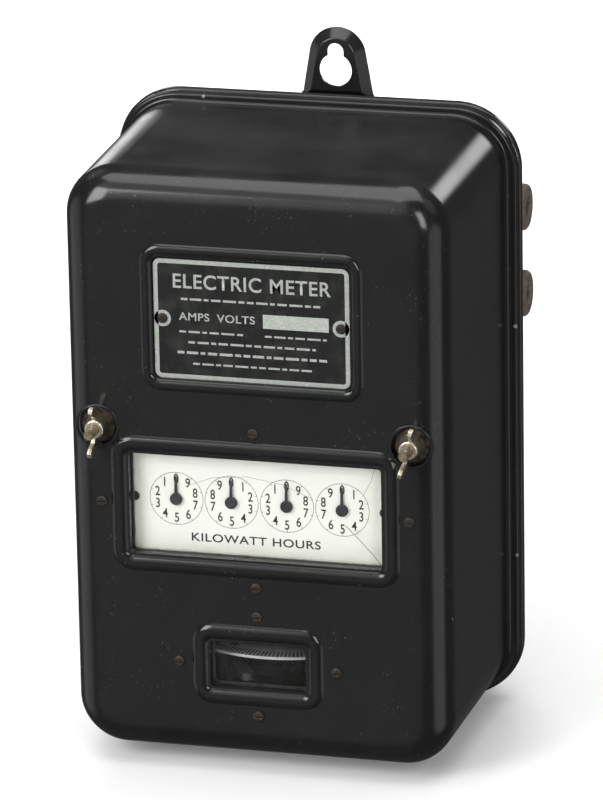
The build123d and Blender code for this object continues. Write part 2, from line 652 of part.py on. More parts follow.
def make_brush_arm(side):
    """Sprung arm with a silver tip against the commutator."""
    hub = pillar(15, 70, 66, 4.0, 17)
    arm = block(13.6, 15.0, 72, 92, 70, 77)
    tip = block(4.15, 15.0, 86.6, 89.4, 71.5, 75.5)
    part = hub + arm + tip - pillar(15, 70, 60, 1.5 + RUN, 30)
    return part if side > 0 else mirror(part, Plane.YZ)


def make_lever():
    x, depth = LEVER_PIVOT
    low = LOW_ARM_Z + 16.0
    hub = pillar(x, depth, low, 5.0, 4.0)
    reach = math.hypot(-9 - x, 143 - depth)
    angle = -math.degrees(math.atan2(143 - depth, -9 - x))
    bar = Pos(reach / 2, 0, 2.0) * Box(reach, 6.0, 3.0)
    bar = bar + Pos(reach, 0, 0.5) * Cylinder(3.0, 3.0, align=(Align.CENTER, Align.CENTER, Align.MIN))
    arm = Pos(x, -depth, low) * Rot(0, 0, angle) * bar
    return hub + arm - pillar(x, depth, low - 1, 2.0 + RUN, 10)


# ---------------------------------------------------------------- register
UNITS, TENS = (1.5 * DIAL_PITCH, DIAL_Z), (0.5 * DIAL_PITCH, DIAL_Z)
HUNDREDS, THOUSANDS = (-0.5 * DIAL_PITCH, DIAL_Z), (-1.5 * DIAL_PITCH, DIAL_Z)
SECOND = (UNITS[0], DIAL_Z + DIAL_PITCH)
WORM_ARBOR = (WORM_R + WORM_MODULE * WORM_TEETH / 2, WORM_Z)


def meshing_point(one, other, from_one, from_other):
    """Point at two given distances from two centres, on the lower left of the line joining them."""
    gap = math.dist(one, other)
    along = (from_one ** 2 - from_other ** 2 + gap ** 2) / (2 * gap)
    away = math.sqrt(from_one ** 2 - along ** 2)
    ux, uz = (other[0] - one[0]) / gap, (other[1] - one[1]) / gap
    return (one[0] + along * ux - away * uz, one[1] + along * uz + away * ux)


# The first arbor carries 40 teeth and the second 64, each driven by eight leaves.
FIRST = meshing_point(SECOND, WORM_ARBOR, 36 * TRAIN_MODULE, 24 * TRAIN_MODULE)
TRAIN = (WORM_ARBOR, FIRST, SECOND, UNITS, TENS, HUNDREDS, THOUSANDS)
POSTS = ((-50, -40), (50, -40), (-50, 31), (50, 31))
DIAL_SCREW_X = 57.3


def arbor(centre, back, front, radius=0.9):
    return rod(centre[0], centre[1], radius, back, front - back)


def train_arbor(centre, teeth, driver, plane, driven, driven_plane, front):
    """Arbor with the wheel it is turned by and the pinion that turns the next wheel."""
    part = arbor(centre, REAR_PLATE + 0.2, front)
    part = part + wheel(centre, teeth, driver, plane) + rod(centre[0], centre[1], 2.0, plane - 0.6, 2.2)
    if driven:
        part = part + pinion(centre, driven, driven_plane - 0.5, 2.0)
    return part


def make_worm_arbor():
    """Worm wheel behind the register with its pinion between the register plates."""
    part = arbor(WORM_ARBOR, SHAFT_DEPTH - 6, FRONT_PLATE + 1.2)
    towards = math.pi
    face = gear(WORM_TEETH, WORM_MODULE, 0.8, 1.2, towards + math.pi / WORM_TEETH)
    for spoke in range(6):
        turn = Rot(0, 0, 60 * spoke)
        face = face - turn * Pos(11, 0) * Circle(3.6)
    part = part + slab(Pos(*WORM_ARBOR) * face, SHAFT_DEPTH - 0.75, 1.5)
    part = part + rod(WORM_ARBOR[0], WORM_ARBOR[1], 3.2, SHAFT_DEPTH - 3, 6)
    return part + pinion(WORM_ARBOR, FIRST, PLANE_D - 0.5, 2.0)


def make_rear_plate():
    plate = slab(Pos(0, -5) * RectangleRounded(120, 80, 3), REAR_PLATE, 1.5)
    for x, z in POSTS:
        plate = plate + rod(x, z, 2.5, REAR_PLATE + 1.5, FRONT_PLATE - REAR_PLATE - 1.5)
    for x, z in TRAIN:
        plate = plate - rod(x, z, 0.9 + RUN, REAR_PLATE - 1, 4)
    for x, z in REGISTER_MOUNTS:
        plate = plate - rod(x, z, 1.65, REAR_PLATE - 1, 4)
    return plate


def make_back_cock():
    """Bracket that carries the rear end of the worm-wheel arbor."""
    x, z = WORM_ARBOR
    arm = block(x - 5, CHEEK_IN, SHAFT_DEPTH - 8, SHAFT_DEPTH - 5, z - 4, z + 4)
    foot = block(CHEEK_IN - 2, CHEEK_IN, SHAFT_DEPTH - 20, SHAFT_DEPTH - 5, z - 4, z + 4)
    return arm + foot - rod(x, z, 0.9 + RUN, SHAFT_DEPTH - 6.5, 10)


def make_front_plate():
    plate = slab(Pos(0, -5) * RectangleRounded(120, 80, 3), FRONT_PLATE, 1.5)
    for side in (-1, 1):
        plate = plate + rod(side * DIAL_SCREW_X, DIAL_Z, 2.4, FRONT_PLATE, DIAL_FACE - 1.0 - FRONT_PLATE)
        plate = plate - rod(side * DIAL_SCREW_X, DIAL_Z, 1.05, FRONT_PLATE - 1, 8)
    for x, z in TRAIN:
        plate = plate - rod(x, z, 0.9 + RUN, FRONT_PLATE - 1, 4)
    for x, z in POSTS:
        plate = plate - rod(x, z, 1.55, FRONT_PLATE - 1, 4)
    return plate


def make_register_screws():
    screws = [screw(x, z, REAR_PLATE + 1.5, 2.9, 1.6, 1.5, 8) for x, z in REGISTER_MOUNTS]
    screws += [screw(x, z, FRONT_PLATE + 1.5, 2.6, 1.2, 1.5, 1.5) for x, z in POSTS]
    return group(screws)


def make_dial_plate():
    corners = ((-60.5, 3.5), (-55.5, 9.0), (55.5, 9.0), (60.5, 3.5), (60.5, -43.0), (-60.5, -43.0))
    plate = slab(make_face(Polyline(*corners, close=True)), DIAL_FACE - 1.0, 1.0)
    for x, z in (UNITS, TENS, HUNDREDS, THOUSANDS):
        plate = plate - rod(x, z, 1.4, DIAL_FACE - 2, 4)
    for side in (-1, 1):
        plate = plate - rod(side * DIAL_SCREW_X, DIAL_Z, 1.05, DIAL_FACE - 2, 4)
    return plate


def make_pointer(centre):
    """Hand at zero: round boss with a long thin blade."""
    x, z = centre
    blade = Polyline((-0.75, 0), (-0.45, 10.6), (0.45, 10.6), (0.75, 0), close=True)
    part = slab(Pos(x, z) * make_face(blade), DIAL_FACE + 0.6, 0.5)
    part = part + rod(x, z, 2.8, DIAL_FACE + 0.5, 1.1)
    part = chamfer(part.edges().group_by(Axis.Y)[0], 0.3)
    return part - rod(x, z, 0.9, DIAL_FACE - 1, 2.2)


def make_dial_screws():
    return group([screw(side * DIAL_SCREW_X, DIAL_Z, DIAL_FACE, 2.2, 1.0, 1.0, 4.0) for side in (-1, 1)])


def make_small_screws():
    """Screws on the front of the cover: eight for the glass frames, two for the nameplate."""
    screws = [screw(x, z, COVER_FRONT, 2.6, 1.3, 1.4, 7.5) for x, z in COVER_SCREWS]
    for x in (-PLATE_SCREW_X, PLATE_SCREW_X):
        screws.append(screw(x, PLATE_Z, COVER_FRONT - 1.0, 2.3, 1.0, 1.25, 3.0))
    return group(screws)


POINTER_TIP = DIAL_FACE + 1.2

NODES = {
    "base_pan": make_base(),
    "hanger_bracket": make_hanger(),
    "hanger_rivets": make_rivets(),
    "gasket": make_gasket(),
    "cover_studs": group([make_stud(-STUD_X), make_stud(STUD_X)]),
    "wire_bushings": every_bushing(bushing_at),
    "bushing_nuts": every_bushing(bushing_nut_at),
    "terminal_block_left": make_terminal_block(-1),
    "terminal_block_right": make_terminal_block(1),
    "terminals": make_terminals(),
    "terminal_screws": make_terminal_screws(),
    "main_frame": make_frame(),
    "frame_screws": make_frame_screws(),
    "magnet_left": make_magnet(-1),
    "magnet_right": make_magnet(1),
    "magnet_screws": make_magnet_screws(),
    "current_coil_left": make_coil(-1),
    "current_coil_right": make_coil(1),
    "coil_clamps": make_coil_clamps(),
    "coil_screws": make_coil_screws(),
    "light_load_coil": make_light_coil(),
    "light_load_bar": make_light_bar(),
    "resistor": make_resistor(),
    "resistor_bracket": make_resistor_bracket(),
    "top_bearing": make_top_bearing(),
    "jewel_screw": make_jewel_screw(),
    "brush_block": make_brush_block(),
    "brush_arm_left": make_brush_arm(-1),
    "brush_arm_right": make_brush_arm(1),
    "arrest_lever": make_lever(),
    "rotor_shaft": make_shaft(),
    "brake_disc": make_disc(),
    "armature": make_armature(),
    "commutator": make_commutator(),
    "register_rear_plate": make_rear_plate(),
    "register_front_plate": make_front_plate(),
    "register_screws": make_register_screws(),
    "arbor_cock": make_back_cock(),
    "dial_plate": make_dial_plate(),
    "dial_screws": make_dial_screws(),
    "worm_arbor": make_worm_arbor(),
    "first_arbor": train_arbor(FIRST, 40, WORM_ARBOR, PLANE_D, SECOND, PLANE_C, FRONT_PLATE + 1.2),
    "second_arbor": train_arbor(SECOND, 64, FIRST, PLANE_C, UNITS, PLANE_A, FRONT_PLATE + 1.2),
    "units_arbor": train_arbor(UNITS, 80, SECOND, PLANE_A, TENS, PLANE_B, POINTER_TIP),
    "tens_arbor": train_arbor(TENS, 80, UNITS, PLANE_B, HUNDREDS, PLANE_C, POINTER_TIP),
    "hundreds_arbor": train_arbor(HUNDREDS, 80, TENS, PLANE_C, THOUSANDS, PLANE_A, POINTER_TIP),
    "thousands_arbor": train_arbor(THOUSANDS, 80, HUNDREDS, PLANE_A, None, None, POINTER_TIP),
    "units_pointer": make_pointer(UNITS),
    "tens_pointer": make_pointer(TENS),
    "hundreds_pointer": make_pointer(HUNDREDS),
    "thousands_pointer": make_pointer(THOUSANDS),
    "cover": make_cover(),
    "nameplate": make_nameplate(),
    "small_screws": make_small_screws(),
    "glass_panes": group([pane(REGISTER_Z, 121.0, 52.4), pane(WINDOW_Z, 51.0, 28.0)]),
    "glass_frames": group([
        glass_frame(REGISTER_Z, 121.0, 52.4, 114.0, 46.0, REGISTER_SCREWS),
        glass_frame(WINDOW_Z, 51.0, 28.0, 42.6, 20.4, WINDOW_SCREWS)]),
    "washer_left": make_washer(-STUD_X),
    "washer_right": make_washer(STUD_X),
    "wing_nut_left": make_wing_nut(-STUD_X, 3.0),
    "wing_nut_right": make_wing_nut(STUD_X, 14.0),
}

os.makedirs("parts", exist_ok=True)
for name, part in NODES.items():
    export_step(part, f"parts/{name}.step")
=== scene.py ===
import math

import bmesh
import bpy
from mathutils import Matrix, Vector


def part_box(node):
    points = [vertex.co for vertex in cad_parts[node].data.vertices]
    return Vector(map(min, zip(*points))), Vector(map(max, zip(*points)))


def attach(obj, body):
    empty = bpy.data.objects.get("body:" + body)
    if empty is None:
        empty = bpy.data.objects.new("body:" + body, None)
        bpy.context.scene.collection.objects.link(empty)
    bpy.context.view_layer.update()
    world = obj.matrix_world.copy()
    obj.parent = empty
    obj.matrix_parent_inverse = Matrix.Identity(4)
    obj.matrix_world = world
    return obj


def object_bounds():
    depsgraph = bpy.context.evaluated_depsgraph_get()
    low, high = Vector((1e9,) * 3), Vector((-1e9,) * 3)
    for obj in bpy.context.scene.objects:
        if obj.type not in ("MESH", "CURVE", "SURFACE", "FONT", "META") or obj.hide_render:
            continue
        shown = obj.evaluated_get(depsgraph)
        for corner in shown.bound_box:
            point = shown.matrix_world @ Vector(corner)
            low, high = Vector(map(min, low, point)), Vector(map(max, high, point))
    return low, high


# Wall-mounted dial meter, in the CAD frame: metres, +X right, +Y into the wall, +Z up.
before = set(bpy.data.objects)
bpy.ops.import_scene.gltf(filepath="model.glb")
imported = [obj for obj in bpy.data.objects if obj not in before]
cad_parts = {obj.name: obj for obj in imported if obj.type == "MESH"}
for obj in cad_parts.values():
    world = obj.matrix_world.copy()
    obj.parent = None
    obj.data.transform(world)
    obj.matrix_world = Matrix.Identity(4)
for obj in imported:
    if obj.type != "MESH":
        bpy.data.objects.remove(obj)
cad_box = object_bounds()

MM = 0.001

# Most forward points of the pieces that carry flat marks, and the Y of the marks before them.
DIAL_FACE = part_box("dial_plate")[0][1]
PANE_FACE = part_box("glass_panes")[0][1]
PLATE_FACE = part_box("nameplate")[0][1]
DIAL_LINES_Y = DIAL_FACE - 0.03 * MM
DIAL_TEXT_Y = DIAL_FACE - 0.04 * MM
PLATE_FIELD_Y = PLATE_FACE - 0.04 * MM
PLATE_TEXT_Y = PLATE_FACE - 0.05 * MM
CRACK_Y = PANE_FACE - 0.03 * MM

# Places and sizes that the CAD has too.
DIAL_Z = -15.9 * MM
DIAL_X = (-38.1 * MM, -12.7 * MM, 12.7 * MM, 38.1 * MM)
PLATE_Z = 70.1 * MM
WORDS_Z = PLATE_Z + 1.2 * MM                    # row of the two units and the empty field
PLATE_SCREW_X = 40.5 * MM
DISC_AXIS = (0.0, -88.0 * MM)
THREAD_PITCH = 25.4 / 24 * MM


# ---------------------------------------------------------------- node helper
class Finish:
    """One procedural material, built node by node around a Principled shader."""

    def __init__(self, name, **constants):
        self.material = bpy.data.materials.new(name)
        self.material.use_nodes = True
        self.tree = self.material.node_tree
        self.shader = self.tree.nodes["Principled BSDF"]
        self.place = self.node("ShaderNodeTexCoord").outputs["Object"]
        for socket, value in constants.items():
            self.put(socket.replace("_", " "), value)

    def node(self, kind, **settings):
        made = self.tree.nodes.new(kind)
        for key, value in settings.items():
            setattr(made, key, value)
        return made

    def feed(self, socket, value):
        """Links a socket, or sets it when the value is a number or a colour."""
        if isinstance(value, bpy.types.NodeSocket):
            self.tree.links.new(value, socket)
        elif isinstance(value, tuple) and len(value) == 3 and len(socket.default_value) == 4:
            socket.default_value = (*value, 1.0)
        else:
            socket.default_value = value

    def put(self, name, value):
        self.feed(self.shader.inputs[name], value)

    def stretched(self, scale):
        """Object coordinates with each axis scaled."""
        mapping = self.node("ShaderNodeMapping")
        self.feed(mapping.inputs["Vector"], self.place)
        mapping.inputs["Scale"].default_value = scale
        return mapping.outputs["Vector"]

    def noise(self, scale, detail=3.0, rough=0.55, stretch=None):
        """Cloudy noise from 0 to 1; scale is roughly blotches per metre."""
        texture = self.node("ShaderNodeTexNoise")
        self.feed(texture.inputs["Vector"], self.stretched(stretch) if stretch else self.place)
        texture.inputs["Scale"].default_value = scale
        texture.inputs["Detail"].default_value = detail
        texture.inputs["Roughness"].default_value = rough
        return texture.outputs["Fac"]

    def cells(self, scale):
        """Distance to the nearest of scattered points, for specks and pits."""
        texture = self.node("ShaderNodeTexVoronoi")
        self.feed(texture.inputs["Vector"], self.place)
        texture.inputs["Scale"].default_value = scale
        return texture.outputs["Distance"]

    def math(self, operation, a, b=0.0):
        made = self.node("ShaderNodeMath", operation=operation)
        self.feed(made.inputs[0], a)
        self.feed(made.inputs[1], b)
        return made.outputs[0]

    def span(self, value, low, high, start=0.0, end=1.0):
        """Remaps low..high to start..end, clamped."""
        made = self.node("ShaderNodeMapRange")
        for index, item in enumerate((value, low, high, start, end)):
            self.feed(made.inputs[index], item)
        return made.outputs[0]

    def mix(self, factor, a, b):
        """Colour a where the factor is 0 and b where it is 1."""
        made = self.node("ShaderNodeMix", data_type="RGBA")
        self.feed(made.inputs["Factor"], factor)
        # Inputs 6 and 7 and output 2 are this node's colour sockets.
        self.feed(made.inputs[6], a)
        self.feed(made.inputs[7], b)
        return made.outputs[2]

    def upward(self):
        """How far the surface faces up, for settled dust."""
        parts = self.node("ShaderNodeSeparateXYZ")
        self.feed(parts.inputs[0], self.node("ShaderNodeNewGeometry").outputs["Normal"])
        return parts.outputs["Z"]

    def axes(self):
        parts = self.node("ShaderNodeSeparateXYZ")
        self.feed(parts.inputs[0], self.place)
        return parts.outputs["X"], parts.outputs["Y"], parts.outputs["Z"]

    def spot(self, centre, radius):
        """1 at a point on the object, fading to 0 at radius, with a ragged edge."""
        away = self.node("ShaderNodeVectorMath", operation="DISTANCE")
        self.feed(away.inputs[0], self.place)
        away.inputs[1].default_value = centre
        ragged = self.math("MULTIPLY_ADD", self.noise(900, 2), radius * 0.9)
        ragged.node.inputs[2].default_value = -radius * 0.45
        reach = self.math("ADD", away.outputs["Value"], ragged)
        return self.span(reach, radius * 0.7, radius, 1.0, 0.0)

    def bump(self, *layers):
        """Stacks (height, strength, distance in metres) layers into the normal."""
        normal = None
        for height, strength, distance in layers:
            made = self.node("ShaderNodeBump")
            made.inputs["Strength"].default_value = strength
            made.inputs["Distance"].default_value = distance
            self.feed(made.inputs["Height"], height)
            if normal:
                self.feed(made.inputs["Normal"], normal)
            normal = made.outputs["Normal"]
        self.put("Normal", normal)


# ---------------------------------------------------------------- finishes
CHIPS = (
    # place on the cover, radius
    ((0.0893, -0.1250, 0.0700), 0.0010),
    ((0.0880, -0.1440, -0.0560), 0.0008),
    ((0.0868, -0.1452, -0.0650), 0.0006),
    ((0.0700, -0.1555, 0.1190), 0.0007),
    ((-0.0850, -0.1490, -0.1000), 0.0008),
    ((0.0400, -0.1520, -0.1330), 0.0008),
    ((0.0925, -0.0430, 0.0400), 0.0011),
    ((0.0925, -0.0430, -0.0700), 0.0009),
    ((-0.0520, -0.0430, 0.1400), 0.0010),
)


def enamel(name, dust=0.5, wear=0.5, chips=(), lift=1.0):
    """Baked black enamel: orange peel, lint specks, settled dust and small chips to bare metal."""
    paint = Finish(name, Specular_IOR_Level=0.42, Coat_Weight=0.0)
    cloud = paint.noise(28, 4)
    deep = (0.0055 * lift, 0.0055 * lift, 0.0058 * lift)
    pale = (0.0105 * lift, 0.0105 * lift, 0.0108 * lift)
    colour = paint.mix(cloud, deep, pale)
    ledges = paint.span(paint.upward(), 0.55, 1.0)
    settled = paint.math("MULTIPLY", ledges, paint.span(cloud, 0.3, 0.7))
    settled = paint.math("MULTIPLY", settled, dust)
    colour = paint.mix(settled, colour, (0.026, 0.026, 0.028))
    rare = paint.span(paint.noise(75, 2), 0.5, 0.62)
    speck = paint.math("MULTIPLY", paint.span(paint.cells(420), 0.07, 0.11, 1.0, 0.0), rare)
    lint = paint.math("MULTIPLY", paint.span(paint.cells(1150), 0.08, 0.13, 1.0, 0.0), rare)
    marks = paint.math("MULTIPLY", paint.math("MAXIMUM", speck, lint), dust)
    colour = paint.mix(marks, colour, (0.19, 0.185, 0.17))
    worn = paint.math("MULTIPLY", paint.span(paint.noise(190, 4, 0.7), 0.735, 0.76), wear)
    for centre, radius in chips:
        worn = paint.math("MAXIMUM", worn, paint.spot(centre, radius))
    metal = paint.mix(paint.noise(700, 2), (0.10, 0.08, 0.065), (0.30, 0.28, 0.26))
    paint.put("Base Color", paint.mix(worn, colour, metal))
    smear = paint.span(paint.noise(14, 4, 0.6, (1.0, 1.0, 0.35)), 0.3, 0.7, 0.12, 0.20)
    rough = paint.math("ADD", smear, paint.math("MULTIPLY", settled, 0.14))
    paint.put("Roughness", paint.math("MAXIMUM", rough, paint.math("MULTIPLY", worn, 0.6)))
    paint.bump(
        (paint.noise(330, 2), 0.12, 0.0001),
        (paint.noise(22, 2), 0.25, 0.0003),
        (worn, -0.7, 0.00008),
        (marks, 0.5, 0.00004),
    )
    return paint.material


def metal(name, light, dark, rough, tarnish, scale=160):
    """Bare or plated metal with tarnish in patches, fine scratches and pits."""
    made = Finish(name, Metallic=1.0)
    patches = made.span(made.noise(scale, 5, 0.62), 0.62 - 0.3 * tarnish, 0.74 - 0.2 * tarnish)
    streaks = made.noise(900, 3, 0.6)
    fresh = made.mix(streaks, light, tuple(channel * 0.78 for channel in light))
    made.put("Base Color", made.mix(patches, fresh, dark))
    dulled = made.math("MULTIPLY", patches, 0.6)
    wander = made.math("ADD", dulled, made.math("MULTIPLY", streaks, 0.4))
    made.put("Roughness", made.span(wander, 0.0, 1.0, *rough))
    made.bump((streaks, 0.18, 0.00006), (made.noise(scale * 3, 3), 0.2, 0.00008))
    return made.material


def rusty(name):
    """Small blued screw heads gone brown, with a little bright metal left."""
    made = Finish(name)
    rust = made.noise(1300, 5, 0.7)
    colour = made.mix(made.span(rust, 0.35, 0.65), (0.010, 0.008, 0.007), (0.034, 0.024, 0.017))
    shine = made.span(made.noise(800, 3), 0.64, 0.72)
    made.put("Base Color", made.mix(shine, colour, (0.24, 0.20, 0.16)))
    made.put("Metallic", made.span(shine, 0.0, 1.0, 0.25, 0.9))
    made.put("Roughness", made.span(rust, 0.3, 0.7, 0.42, 0.75))
    made.bump((rust, 0.5, 0.00012))
    return made.material


def threaded(name, light, dark):
    """Tarnished stud with its thread turned round the depth axis."""
    made = Finish(name, Metallic=1.0)
    along = made.axes()[1]
    grime = made.noise(500, 4, 0.65)
    ridge = made.math("SINE", made.math("MULTIPLY", along, 2 * math.pi / THREAD_PITCH))
    ridge = made.span(ridge, -1.0, 1.0)
    groove = made.span(ridge, 0.0, 0.5, 0.75, 0.0)
    colour = made.mix(made.span(grime, 0.35, 0.65), light, dark)
    made.put("Base Color", made.mix(groove, colour, (0.05, 0.036, 0.022)))
    made.put("Roughness", made.span(grime, 0.3, 0.7, 0.34, 0.6))
    made.bump((ridge, 1.0, 0.00035), (grime, 0.2, 0.00006))
    return made.material


def off_white(name):
    """Enamelled dial: warm white, faint mottling, browned towards its sides and foot."""
    made = Finish(name, Specular_IOR_Level=0.35)
    x, _, z = made.axes()
    clean = made.mix(made.noise(45, 4), (0.62, 0.63, 0.575), (0.67, 0.68, 0.625))
    side = made.span(made.math("ABSOLUTE", x), 0.052, 0.0585)
    low = made.span(z, -0.0405, -0.036, 1.0, 0.0)
    patchy = made.span(made.noise(120, 5), 0.35, 0.75)
    aged = made.math("MULTIPLY", made.math("MAXIMUM", side, low), patchy)
    colour = made.mix(made.math("MULTIPLY", aged, 0.55), clean, (0.52, 0.46, 0.33))
    dots = made.span(made.cells(240), 0.05, 0.09, 1.0, 0.0)
    fly = made.math("MULTIPLY", dots, made.span(made.noise(60), 0.55, 0.62))
    made.put("Base Color", made.mix(fly, colour, (0.42, 0.36, 0.26)))
    made.put("Roughness", made.span(made.noise(90, 3), 0.3, 0.7, 0.38, 0.55))
    made.bump((made.noise(420, 2), 0.08, 0.00005))
    return made.material


def ink(name, colour, rough=0.55, metallic=0.0):
    """Printed or etched mark, slightly uneven in density."""
    made = Finish(name, Metallic=metallic)
    fade = made.noise(1500, 3, 0.7)
    paler = tuple(min(1.0, channel * 1.5 + 0.02) for channel in colour)
    made.put("Base Color", made.mix(made.span(fade, 0.45, 0.75), colour, paler))
    made.put("Roughness", made.span(fade, 0.3, 0.7, rough - 0.08, rough + 0.1))
    made.bump((fade, 0.15, 0.00003))
    return made.material


def etched_plate(name):
    """Black field of the nameplate, matt from etching, with rubbed patches."""
    made = Finish(name, Specular_IOR_Level=0.15)
    rubbed = made.span(made.noise(110, 5, 0.65), 0.45, 0.72)
    grit = made.noise(2600, 3, 0.7)
    colour = made.mix(rubbed, (0.010, 0.010, 0.010), (0.026, 0.025, 0.024))
    made.put("Base Color", made.mix(made.span(grit, 0.62, 0.72), colour, (0.05, 0.048, 0.046)))
    made.put("Roughness", made.span(rubbed, 0.0, 1.0, 0.62, 0.42))
    made.bump((grit, 0.35, 0.00006))
    return made.material


def pane(name):
    """Old clear glass: nearly all see-through, with haze and settled dust."""
    made = Finish(name, IOR=1.5)
    made.put("Base Color", made.mix(made.noise(70, 3), (0.80, 0.84, 0.81), (0.90, 0.92, 0.90)))
    haze = made.span(made.noise(38, 5, 0.65), 0.35, 0.75, 0.003, 0.012)
    speck = made.span(made.cells(600), 0.04, 0.07, 0.07, 0.0)
    made.put("Alpha", made.math("MAXIMUM", haze, speck))
    made.put("Roughness", made.span(made.noise(60, 3), 0.3, 0.7, 0.04, 0.10))
    return made.material


def moulded(name, dark, light, rough=0.5):
    """Moulded composition: flecked, dull, with flow marks."""
    made = Finish(name, Specular_IOR_Level=0.45)
    fleck = made.noise(520, 4, 0.7)
    flow = made.noise(40, 3, 0.5, (1.0, 1.0, 4.0))
    colour = made.mix(made.span(fleck, 0.35, 0.68), dark, light)
    made.put("Base Color", made.mix(made.span(flow, 0.5, 0.8, 0.0, 0.5), colour, dark))
    made.put("Roughness", made.span(fleck, 0.3, 0.7, rough - 0.08, rough + 0.14))
    made.bump((fleck, 0.3, 0.00008))
    return made.material


def ceramic(name):
    """Glazed white ware, crazed and slightly soiled in the recesses."""
    made = Finish(name, Coat_Weight=0.4, Coat_Roughness=0.12)
    craze = made.span(made.cells(210), 0.42, 0.5, 0.0, 0.35)
    soil = made.span(made.noise(55, 5), 0.5, 0.8)
    colour = made.mix(craze, (0.74, 0.71, 0.63), (0.50, 0.44, 0.34))
    made.put("Base Color", made.mix(soil, colour, (0.55, 0.49, 0.38)))
    made.put("Roughness", made.span(soil, 0.0, 1.0, 0.22, 0.45))
    made.bump((made.noise(260, 2), 0.1, 0.00008))
    return made.material


def casting(name):
    """Cast iron under thin black japan: grainy skin, dusty ledges, rubbed brown patches."""
    made = Finish(name, Specular_IOR_Level=0.4)
    sand = made.noise(850, 4, 0.7)
    rubbed = made.span(made.noise(70, 5), 0.58, 0.74)
    colour = made.mix(sand, (0.012, 0.012, 0.012), (0.030, 0.029, 0.028))
    colour = made.mix(rubbed, colour, (0.075, 0.058, 0.045))
    dusty = made.math("MULTIPLY", made.span(made.upward(), 0.6, 1.0), 0.4)
    made.put("Base Color", made.mix(dusty, colour, (0.11, 0.105, 0.095)))
    made.put("Roughness", made.span(sand, 0.3, 0.7, 0.42, 0.66))
    made.bump((sand, 0.55, 0.00018))
    return made.material


def spun_disc(name):
    """Aluminium brake disc: lathe rings, and a band of fine radial teeth marks at its rim."""
    ring_pitch, tooth_count = 0.0006, 200.0
    made = Finish(name, Metallic=0.5)
    x, y, _ = made.axes()
    dx = made.math("SUBTRACT", x, DISC_AXIS[0])
    dy = made.math("SUBTRACT", y, DISC_AXIS[1])
    squares = made.math("ADD", made.math("POWER", dx, 2.0), made.math("POWER", dy, 2.0))
    radius = made.math("SQRT", squares)
    turn = made.math("ARCTAN2", dy, dx)
    rings = made.math("SINE", made.math("MULTIPLY", radius, 2 * math.pi / ring_pitch))
    rings = made.span(rings, -1.0, 1.0)
    teeth = made.span(made.math("SINE", made.math("MULTIPLY", turn, tooth_count)), -0.3, 0.3)
    band = made.span(radius, 0.0528, 0.0533)
    edge = made.span(radius, 0.0588, 0.0592, 1.0, 0.0)
    serration = made.math("MULTIPLY", made.math("MULTIPLY", teeth, band), edge)
    plain = made.mix(made.noise(60, 4), (0.74, 0.75, 0.76), (0.58, 0.59, 0.59))
    made.put("Base Color", made.mix(serration, plain, (0.06, 0.06, 0.06)))
    made.put("Roughness", made.span(made.noise(120, 4), 0.3, 0.7, 0.24, 0.42))
    made.bump((rings, 0.08, 0.00005), (serration, 0.6, 0.0001))
    return made.material


def winding(name, dark, light, axis, pitch):
    """Cotton-covered wire laid side by side along one axis, varnished."""
    made = Finish(name, Specular_IOR_Level=0.4)
    along = made.axes()["XYZ".index(axis)]
    wander = made.math("MULTIPLY", made.noise(90, 3), pitch * 0.8)
    phase = made.math("MULTIPLY", made.math("ADD", along, wander), 2 * math.pi / pitch)
    strand = made.span(made.math("SINE", phase), -1.0, 1.0)
    varnish = made.noise(60, 4)
    colour = made.mix(made.span(strand, 0.0, 0.6), dark, light)
    made.put("Base Color", made.mix(made.span(varnish, 0.5, 0.75, 0.0, 0.6), colour, dark))
    made.put("Roughness", made.span(varnish, 0.3, 0.7, 0.38, 0.62))
    made.bump((strand, 0.8, pitch * 0.4), (made.noise(2400, 2), 0.25, 0.00005))
    return made.material


def felt(name):
    """Dark felt strip with loose fibres."""
    made = Finish(name, Sheen_Weight=0.3, Roughness=0.95)
    fibre = made.noise(2200, 4, 0.75, (1.0, 2.5, 1.0))
    made.put("Base Color", made.mix(fibre, (0.018, 0.017, 0.016), (0.060, 0.056, 0.050)))
    made.bump((fibre, 0.8, 0.0003))
    return made.material


BRASS = metal("brass", (0.70, 0.50, 0.22), (0.24, 0.15, 0.06), (0.24, 0.48), tarnish=0.4)
STEEL = metal("steel", (0.52, 0.52, 0.51), (0.20, 0.18, 0.16), (0.30, 0.52), tarnish=0.35)
NICKEL = metal("tarnished_nickel", (0.86, 0.80, 0.66), (0.40, 0.33, 0.22), (0.30, 0.52),
               tarnish=0.36, scale=330)
WASHER = metal("browned_washer", (0.16, 0.135, 0.11), (0.045, 0.036, 0.028), (0.40, 0.62),
               tarnish=0.7, scale=420)
STUD = threaded("threaded_stud", (0.56, 0.49, 0.35), (0.20, 0.15, 0.09))
SILVER = metal("silver_contact", (0.78, 0.77, 0.74), (0.30, 0.28, 0.26), (0.20, 0.40), tarnish=0.4)
MAGNET = metal("magnet_steel", (0.085, 0.085, 0.092), (0.035, 0.032, 0.030), (0.34, 0.56),
               tarnish=0.5)
RUST = rusty("browned_screws")
COVER_PAINT = enamel("cover_enamel", dust=0.55, wear=0.35, chips=CHIPS)
BASE_PAINT = enamel("base_enamel", dust=0.7, wear=0.8, lift=1.6)
COIL = winding("coil_tape", (0.16, 0.095, 0.045), (0.40, 0.27, 0.14), "X", 0.0022)
FINE_COIL = winding("fine_coil", (0.10, 0.035, 0.018), (0.36, 0.13, 0.06), "Y", 0.0009)
ARMATURE = winding("armature_winding", (0.20, 0.085, 0.035), (0.50, 0.24, 0.11), "Z", 0.0011)
COMPOSITION = moulded("composition", (0.052, 0.042, 0.036), (0.155, 0.125, 0.105))
CERAMIC = ceramic("glazed_ceramic")
CASTING = casting("cast_frame")
DISC = spun_disc("spun_disc")
DIAL = off_white("dial_enamel")
PLATE = etched_plate("etched_plate")
GLASS = pane("old_glass")
